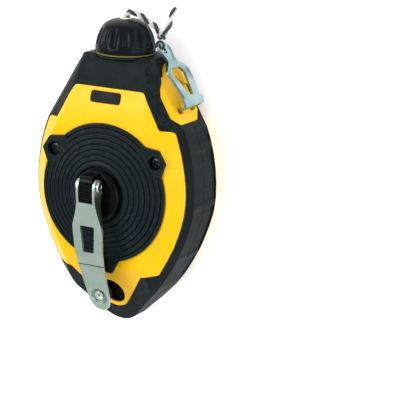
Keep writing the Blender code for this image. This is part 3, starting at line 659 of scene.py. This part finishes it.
for x, y in COVER_SCREWS:
    boolean(cover, lathe([(0, 39.2), (3.2, 39.2), (3.2, 42.3), (3.6, 42.7), (3.6, 44), (0, 44)], 32,
                         lambda u, v, w, x=x, y=y: (x + u, y + v, w)))
    boolean(cover, prism(circle(1.5, 16, x, y), 30, 42))
cover.data.shade_smooth()
bevel(cover, 0.00016, 2, 34, weld=False)
put(cover, "gear_cover")


# ------------------------------------------------------------------ screws
def screw_head(name, node, x, y, r, z_under, z_top, down, shank, mat=STEEL):
    """Pan head with a cross recess; down is -1 for a head facing -Z."""
    s = -1 if down else 1
    bm = lathe([(0, z_under + s * 0.0), (r * 0.96, z_under), (r, z_under + s * 0.25), (r * 0.98, z_under + s * 0.7),
                (r * 0.8, z_top - s * 0.18), (r * 0.5, z_top), (0, z_top + s * 0.02)][::1], 32,
               lambda u, v, w: (x + u, y + v, w))
    bmesh.ops.recalc_face_normals(bm, faces=bm.faces)
    ob = new_object(name, bm, mat)
    q = 0.24 * r / 1.3
    a = 0.6 * r
    cross = [(-q, -a), (q, -a), (q, -q), (a, -q), (a, q), (q, q), (q, a), (-q, a), (-q, q), (-a, q), (-a, -q), (-q, -q)]
    ca, sa = math.cos(0.5), math.sin(0.5)
    cross = [(x + u * ca - v * sa, y + u * sa + v * ca) for u, v in cross]
    z0, z1 = sorted((z_top - s * 0.75, z_top + s * 2))
    boolean(ob, prism(cross, z0, z1))
    pitch, turns = 0.9, int(abs(shank - z_under) / 0.9)
    th = []
    for k in range(turns * 2 + 1):
        z = z_under + (shank - z_under) * k / (turns * 2)
        th.append((1.18 if k % 2 else 0.9, z))
    th = [(0, th[0][1])] + th + [(0, th[-1][1] + (shank - z_under) * 0.001)]
    boolean(ob, lathe([(0, z_under + s * 0.2), (0.9, z_under + s * 0.2)] + th[2:-1] + [(0, shank)], 14,
                      lambda u, v, w: (x + u, y + v, w)), "UNION")
    ob.data.shade_smooth()
    ob.data.set_sharp_from_angle(angle=math.radians(32))
    return put(ob, node)


# painted shade: the cover screws are near-black so their heads read as the shade in their holes
for i, (x, y) in enumerate(COVER_SCREWS):
    screw_head(f"cover_screw_head_{i + 1}", f"cover_screw_{i + 1}", x, y, 2.7, 39.5, 40.9, False, 34.8, SHADE_BLACK_STEEL)
CASE_SCREWS = [(25.5, 29.0), (-25.5, 29.0), (23.5, -29.0), (-23.5, -29.0), (14.3, 45.6), (-14.3, 45.6)]
for i, (x, y) in enumerate(CASE_SCREWS):
    screw_head(f"case_screw_head_{i + 1}", f"case_screw_{i + 1}", x, y, 2.5, 2.9, 1.1, True, 32.4)

# -------------------------------------------------------------------- cap
along_y = lambda u, v, h: (v, h, 24.0 + u)
FL, FL_A = 14, math.radians(32.4)


def flute(a, r, h):
    """Broad channels that run out on the crown and end in a foot above the rim."""
    if not 67.0 < h < 77.4 or r < 9.4:
        return r
    k = min(1.0, max(0.0, (77.2 - h) / 3.6)) * min(1.0, max(0.0, (h - 67.2) / 1.3))
    w = 0.5 + 0.5 * math.cos(FL * (a - FL_A))
    return r - 1.0 * k * k * (3 - 2 * k) * w ** 1.6


outer = [(11.2, 64.6), (13.6, 64.6), (13.95, 64.8), (14.08, 65.3), (14.1, 66.3), (14.06, 67.0), (13.98, 67.4), (13.9, 67.8),
         (13.82, 68.2), (13.75, 68.6), (13.6, 69.4), (13.42, 70.4), (13.1, 71.5), (12.7, 72.6), (12.2, 73.7), (11.65, 74.8),
         (11.05, 75.8), (10.6, 76.5), (10.2, 77.0), (9.7, 77.45), (9.0, 77.95), (8.0, 78.5), (6.8, 79.0), (5.4, 79.4),
         (4.2, 79.65), (3.6, 79.75), (3.35, 79.7), (3.3, 79.5), (3.3, 77.6), (6.2, 77.0), (8.8, 75.4), (10.4, 73.2), (11.2, 71.8)]
cap = new_object("line_cap_fluted", lathe(outer, 224, along_y, flute), CAPBLACK, 40)
put(cap, "line_cap")

# -------------------------------------------------------------- crank hub
hub_bm = lathe([(0, 40.7), (3.0, 40.7), (3.0, 42.4), (5.0, 42.4), (5.0, 46.9), (12.1, 46.9), (12.4, 47.2), (12.4, 48.2),
                (12.2, 48.8), (11.6, 49.4), (10.8, 49.8), (9.6, 50.0), (0, 50.0)], 96)
hub = new_object("crank_hub_turned", hub_bm, GLOSS)
block = fillet([(-0.4, 48.0), (10.9, 48.0), (10.9, 58.0), (-0.4, 58.0)], [0, 0, 3.4, 1.6], 6)
boolean(hub, prism(block, -3.3, 3.3, lambda y, z, x: (x, y, z)), "UNION")
for k in range(4):     # shallow grooves across the block's crown
    y = 2.2 + 1.8 * k
    boolean(hub, prism([(y - 0.35, 57.6), (y + 0.35, 57.6), (y + 0.5, 59), (y - 0.5, 59)], -2.4, 2.4,
                       lambda yy, z, x: (x, yy, z)))
boolean(hub, prism(circle(1.9, 24), -9, 9, lambda u, v, h: (h, 6.1 + u, 54.6 + v)))
boolean(hub, prism(circle(1.6, 16), 38, 47))
hub.data.shade_smooth()
bevel(hub, 0.00035, 3, 34, weld=False)
put(hub, "crank_hub")

# ------------------------------------------------------------- crank arm
SL, BY, BZ, ARM_T = 0.445, -32.5, 52.2, 1.2
KY = -49.4


def arm_z(y):
    pts = [(10, 57.6), (-1.8, 57.3), (-13, 55.9), (-26, 54.3), (BY, BZ), (-60, BZ + (-60 - BY) * SL)]
    for (ya, za), (yb, zb) in zip(pts, pts[1:]):
        if y >= yb:
            return za + (zb - za) * (ya - y) / (ya - yb)
    return pts[-1][1]


def dish(x, y):
    """The pressed dimple round the knob rivet."""
    r = math.hypot(x, (y - KY) * 1.09)
    if r >= 4.7:
        return 0.0
    if r <= 3.5:
        return -1.25
    f = (4.7 - r) / 1.2
    return -1.25 * (f * f * (3 - 2 * f))


half = [(4.65, -1.8), (6.3, -8.0), (7.6, -12.2), (7.9, -13.6), (7.85, -16.0), (7.7, -19.5), (7.3, -26.0), (6.85, BY),
        (6.3, -40.0), (5.9, -45.6), (5.75, -49.4), (5.35, -52.0), (4.75, -53.6), (4.0, -55.0), (3.1, -56.0), (2.1, -56.7),
        (1.1, -57.05), (0.0, -57.1)]
arm_out = half + [(-x, y) for x, y in reversed(half[:-1])]
win = fillet([(-3.9, -13.0), (3.9, -13.0), (2.95, -26.0), (-2.95, -26.0)], 0.9, 4)
loops = [[(r * math.cos(t), KY + r * math.sin(t) / 1.09) for t in [2 * math.pi * k / 40 for k in range(40)]]
         for r in (4.85, 4.55, 4.3, 4.05, 3.8, 3.5, 2.8)]
hole = [(1.6 * math.cos(t), KY + 1.6 * math.sin(t)) for t in [2 * math.pi * k / 24 for k in range(24)]]
lines = [[(-6.70, BY), (6.70, BY)], [(-6.7, BY + 0.45), (6.7, BY + 0.45)], [(-6.7, BY - 0.45), (6.7, BY - 0.45)], [(-7.25, -26.4), (7.25, -26.4)], [(-7.55, -12.2), (7.55, -12.2)]]
nz = math.hypot(1, SL)


def crease(y):
    return -0.22 * max(0.0, 1 - abs(y - BY) / 0.45)


arm_bm = plate(arm_out, [win, hole], lambda x, y: (x, y, arm_z(y) + dish(x, y) + crease(y)),
               lambda x, y: (x, y, arm_z(y) - ARM_T * 1.05 + dish(x, y)), loops, lines)
arm = new_object("crank_arm_plate", arm_bm, ARM)
FL_ROWS = [(9.25, 5.0, 55.1, 54.1), (9.1, 5.0, 55.9, 53.3), (8.5, 5.0, 56.8, 52.4), (7.5, 5.0, 57.5, 51.7), (6.1, 5.0, 57.85, 51.2),
           (4.4, 5.0, 57.9, 51.2), (2.5, 5.0, 57.85, 51.3), (0.2, 4.98, 57.7, 51.6), (-1.8, 4.95, 57.27, 52.1),
           (-5.0, 5.55, 56.88, 52.7), (-8.0, 6.27, 56.48, 53.3), (-11.0, 7.15, 56.10, 54.05), (-12.8, 7.75, 55.87, 54.7)]
for s in (1, -1):
    bm = bmesh.new()
    cols = []
    for y, x, zt, zb in FL_ROWS:
        cols.append([bm.verts.new(Vector(p) * MM) for p in
                     ((s * x, y, zt), (s * x, y, zb), (s * (x - ARM_T), y, zb), (s * (x - ARM_T), y, zt))])
    for a, b in zip(cols, cols[1:]):
        for k in range(4):
            bm.faces.new((a[k], a[(k + 1) % 4], b[(k + 1) % 4], b[k]))
    bm.faces.new(cols[0][::-1])
    bm.faces.new(cols[-1])
    boolean(arm, bm, "UNION")
boolean(arm, prism(circle(1.9, 24), -12, 12, lambda u, v, h: (h, 6.1 + u, 54.6 + v)))
arm.data.shade_smooth()
bevel(arm, 0.00028, 3, 38, weld=True)
put(arm, "crank_arm")

DN = Vector((0, -SL, 1)).normalized()
KNOB_AT = Vector((0, KY, arm_z(KY)))


def on_arm(u, v, w):
    side = Vector((1, 0, 0))
    p = KNOB_AT + side * u + DN.cross(side) * v + DN * w
    return (p.x, p.y, p.z)


rivet = new_object("knob_rivet_eyelet", lathe(
    [(0.6, -1.1), (0.75, -0.5), (1.0, -0.1), (1.4, 0.15), (1.9, 0.12), (2.2, -0.1), (2.42, -0.4), (2.45, -0.92), (1.2, -0.92),
     (1.2, -4.4), (0.6, -4.4)], 48, on_arm), STEEL)
put(rivet, "knob_rivet")
T1 = ARM_T * 1.05 / math.hypot(1, SL)
k0, k1 = -1.2 - 0.35 - 1.25, -1.2 - 0.35 - 3.5
kn = [(1.55, k0), (3.9, k0), (4.5, k0 - 0.15), (4.9, k0 - 0.5), (5.1, k0 - 0.9), (5.2, k1 + 1.5), (5.15, k1 + 1.0), (4.9, k1 + 0.45),
      (4.5, k1 + 0.1), (4.1, k1), (2.4, k1), (2.0, k1 + 0.15), (1.55, k1 + 0.6)]
knob = new_object("knob_turned", lathe(kn, 96, on_arm,
                                       lambda a, r, h: r - (0.16 * (0.5 + 0.5 * math.cos(24 * a)) ** 2 if r > 4.8 else 0)), BLACK)
put(knob, "knob")
pin = new_object("crank_pin_rivet", lathe(
    [(0.9, -6.0), (1.1, -6.12), (1.8, -6.12), (2.3, -5.9), (2.5, -5.6), (2.5, -5.3), (1.6, -5.3), (1.6, 5.3), (2.5, 5.3), (2.5, 5.6),
     (2.3, 5.9), (1.8, 6.12), (1.1, 6.12), (0.9, 6.0)], 48, lambda u, v, h: (h, 6.1 + u, 54.6 + v)), STEEL)
put(pin, "crank_pin")

# ------------------------------------------------------------------ hook
S0, S1 = Vector((19.0, 61.2)), Vector((37.0, 31.0))


def shoulder(t, h, z):
    e = (S1 - S0).normalized()
    n = Vector((-e.y, e.x))
    v = S0 + e * t + n * h
    return (v.x, v.y, z)


HT0, HH0, HT1, HH1, HOOK_Z = -8.0, 0.9, 24.5, 4.9, 20.5
he = Vector((HT1 - HT0, HH1 - HH0)).normalized()


def on_hook(s, z, k):
    return shoulder(HT0 + he.x * s - he.y * k, HH0 + he.y * s + he.x * k, HOOK_Z + z)


HP = [(0.0, 3.0), (0.6, 4.2), (1.6, 4.8), (3.6, 4.85), (6.2, 4.2), (8.6, 3.6), (9.6, 4.0), (10.8, 5.0), (13.0, 7.9), (14.2, 8.9),
      (15.8, 9.3), (20.0, 8.8), (29.0, 7.0), (30.2, 7.1)]
hook_out = HP + [(s, -z) for s, z in reversed(HP)]
hwin = fillet([(13.6, 4.2), (15.4, 6.2), (27.8, 2.6), (27.8, -1.0), (16.4, -5.0), (13.6, -2.9)], 1.0, 4)
hslot = fillet([(1.9, -1.6), (1.9, 1.6), (5.4, 1.2), (5.4, -1.2)], 0.7, 4)


def dome(s, z):
    """The plate is pressed slightly proud down its middle."""
    f = max(0.0, 1 - (abs(z) / 9.0) ** 2) * max(0.0, min(1.0, (s - 9) / 4)) * max(0.0, min(1.0, (29.5 - s) / 3))
    return 0.35 * f




def rim(s, z):
    """The rolled edges: the outline and the window stand up towards the outside."""
    k = 0.0
    if s < 29.0:
        d = edge_distance((s, z), hook_out)
        k = 0.85 * max(0.0, 1 - d / 1.1) ** 0.8 * min(1.0, (29.0 - s) / 1.5) * min(1.0, max(0.0, s / 2.0))
    d = edge_distance((s, z), hwin)
    return max(k, 0.40 * max(0.0, 1 - d / 0.8))


hook_bm = plate(hook_out, [hwin, hslot], lambda s, z: on_hook(s, z, 1.15 + dome(s, z) + rim(s, z)),
                lambda s, z: on_hook(s, z, dome(s, z) + 0.8 * rim(s, z)),
                [inset(hook_out, 0.45), inset(hook_out, 1.0), inset(hwin, -0.4), inset(hwin, -0.8)], [[(12.6, -8.5), (12.6, 8.5)], [(28.6, -6.95), (28.6, 6.95)], [(9.2, -3.6), (9.2, 3.6)]])
hook = new_object("line_hook_pressed", hook_bm, ZINC)
lip = fillet([(28.9, 0.02), (30.3, -0.05), (32.4, -0.95), (33.0, 0.1), (30.6, 1.2), (28.9, 1.22)], [0, 0.8, 0.1, 0.2, 0.9, 0], 4)
boolean(hook, prism(lip, -8.4, 8.4, lambda s, k, z: on_hook(s, z, k)), "UNION")
PT, PZ = 24.4, (26.0, 15.0)
for z in PZ:
    pr = [(PT - 0.6, 5.2), (PT + 0.6, 5.2), (PT + 0.6, -0.6), (PT, -1.3), (PT - 0.6, -1.0)]
    boolean(hook, prism(pr, z - 1.2, z + 1.2, lambda t, h, zz: shoulder(t, h, zz)), "UNION")
hook.data.shade_smooth()
bevel(hook, 0.00030, 3, 34, weld=True)
put(hook, "line_hook")

# the dock's moulded tongue, a thin skin under the hook's window
tongue = new_object("hook_dock_tongue", prism([(6.9, 28.0), (3.4, 25.5), (1.4, 22.5), (1.0, 14.0), (3.2, 10.9), (13.0, 10.7), (13.0, 13.0), (8.0, 17.0)], -0.3, 0.4,
                                              lambda t, z, h: shoulder(t, h, z)), YELLOW)
bevel(tongue, 0.00012, 2, 30)
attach(tongue, "case")

# ------------------------------------------------------------------ line
LEAD = [(0.0, 77.6, 24.0), (0.03, 79.8, 24.0), (0.6, 81.8, 24.0), (2.0, 82.7, 24.0), (4.2, 82.7, 23.9), (7.2, 81.7, 23.5),
        (10.2, 80.0, 22.9), (13.0, 78.0, 22.0), (15.0, 76.2, 21.3), (16.3, 74.4, 21.0)]
TAIL = [(18.5, 74.0, 19.4), (18.7, 76.4, 17.4), (18.2, 79.2, 14.2), (17.2, 81.8, 10.6), (16.1, 83.5, 7.4)]
EYE = [(16.9, 73.0, 20.8), (17.7, 72.6, 20.3)]
LINE_R = 1.5


def strands(bm, path, r, turns, mats, sides=12):
    """Two strands laid round each other along a path."""
    fr = frames(path)
    run = [0.0]
    for a, b in zip(path, path[1:]):
        run.append(run[-1] + (b - a).length)
    for k, mat in enumerate(mats):
        pts = []
        for p, (t, s, u), d in zip(path, fr, run):
            a = 2 * math.pi * turns(d) + math.pi * k
            pts.append(p + (s * math.cos(a) + u * math.sin(a)) * r * 0.46)
        wob = lambda i, a: 0.06 * math.cos(5 * a + i * 0.9) + 0.03 * noise.noise(Vector((i * 0.4, a * 2, k)))
        tube(bm, pts, r * 0.56, sides, mat, False, wob)
    return bm


path, length = spline(LEAD + EYE + TAIL, 220)
LEAD_LEN = spline(LEAD + EYE, 120)[1]
bm = strands(bmesh.new(), path, LINE_R, lambda d: 0.30 + (d / 7.0 if d < LEAD_LEN else LEAD_LEN / 7.0 + (d - LEAD_LEN) / 13.0), (0, 1))
random.seed(7)
end, tdir = path[-1], (path[-1] - path[-4]).normalized()
for k in range(26):       # a few frayed fibres at the cut end
    a = random.uniform(0, 2 * math.pi)
    s = tdir.orthogonal().normalized()
    u = tdir.cross(s)
    rr = random.uniform(0.1, 1.1)
    o = end + s * rr * math.cos(a) + u * rr * math.sin(a) - tdir * 0.6
    d = (tdir + (s * math.cos(a) + u * math.sin(a)) * random.uniform(0.0, 0.45)).normalized()
    L = random.uniform(1.0, 2.1)
    bend = Vector((random.uniform(-0.3, 0.3), random.uniform(-0.3, 0.3), random.uniform(-0.3, 0.1)))
    tube(bm, [o + d * L * f + bend * f * f for f in (0, 0.35, 0.7, 1.0)], lambda i: 0.10 - 0.02 * i, 5, 0 if k % 5 else 1)
line = new_object("free_line", bm, [WHITE_STRAND, DARK_STRAND], 0)

# knot: the dark strand wrapped round the hook's eye
kb = bmesh.new()
tre = []
for k in range(150):
    t = 2 * math.pi * k / 150
    q = Vector((math.sin(t) + 2 * math.sin(2 * t), math.cos(t) - 2 * math.cos(2 * t), -math.sin(3 * t))) * 0.52
    tre.append(Vector((17.5 + q.x * 0.92, 72.5 + q.z * 1.25, 20.6 + q.y * 1.05)))
tube(kb, tre, 0.80, 10, 1, True)
loop = []
for k in range(60):       # the loop that goes through the slot and round the rim
    t = 2 * math.pi * k / 60
    loop.append(Vector(on_hook(0.9 + 1.9 * math.cos(t), 0.25 * math.sin(2 * t), 0.6 + 1.75 * math.sin(t))))
tube(kb, loop, 0.62, 10, 1, True)
knot = new_object("line_knot_tied", kb, [WHITE_STRAND, DARK_STRAND], 0)
put(knot, "line_knot")

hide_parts("line_lead", "line_tail")
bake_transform(line)

# ------------------------------------------------------------- the stage
sm, nt, b = tree("pale_floor")
v = coords(nt)
nf = noise_node(nt, 3.0, 3.0, 0.5, v)
link(nt, ramp(nt, nf.outputs["Fac"], [(0.3, (0.93, 0.93, 0.93)), (0.7, (0.96, 0.96, 0.96))]).outputs["Color"], b.inputs["Base Color"])
b.inputs["Roughness"].default_value = 0.9
b.inputs["Specular IOR Level"].default_value = 0.1
b.inputs["Emission Color"].default_value = (1, 1, 1, 1)
# painted light: the floor glows beyond the object's outline, which washes out the object's cast shadow; under the
# object it does not glow
where = nt.nodes.new("ShaderNodeTexCoord")
part = nt.nodes.new("ShaderNodeSeparateXYZ")
link(nt, where.outputs["Object"], part.inputs[0])
ex = maths("POWER", maths("ABSOLUTE", maths("DIVIDE", part.outputs["X"], 0.037), 0.0), 2.0)
ey = maths("POWER", maths("ABSOLUTE", maths("DIVIDE", maths("SUBTRACT", part.outputs["Y"], 0.0), 0.058), 0.0), 2.0)
link(nt, value_ramp(nt, maths("ADD", ex, ey), 0.0, 0.48, 0.70, 1.10), b.inputs["Emission Strength"])
fbm = bmesh.new()
bmesh.ops.create_grid(fbm, x_segments=8, y_segments=8, size=3.0)
floor = new_object("floor", fbm, sm, 0)
floor.location.z = -0.0002

world = bpy.data.worlds.new("studio")
bpy.context.scene.world = world
world.use_nodes = True
world.node_tree.nodes["Background"].inputs["Color"].default_value = (1, 1, 1, 1)
world.node_tree.nodes["Background"].inputs["Strength"].default_value = 0.62


def area(name, loc, size, power, colour=(1, 1, 1)):
    l = bpy.data.lights.new(name, "AREA")
    l.shape, l.size, l.size_y = "RECTANGLE", size[0], size[1]
    l.energy, l.color = power, colour
    o = bpy.data.objects.new(name, l)
    bpy.context.collection.objects.link(o)
    o.location = loc
    d = Vector((0, 0, 0.02)) - Vector(loc)
    o.rotation_euler = d.to_track_quat("-Z", "Y").to_euler()
    return o


area("key", (-0.34, 0.30, 0.72), (0.40, 0.40), 4.3)
area("fill", (0.80, 0.05, 0.40), (0.5, 0.5), 2.4)
area("rim", (-0.1, -0.9, 0.4), (0.6, 0.3), 1.2)
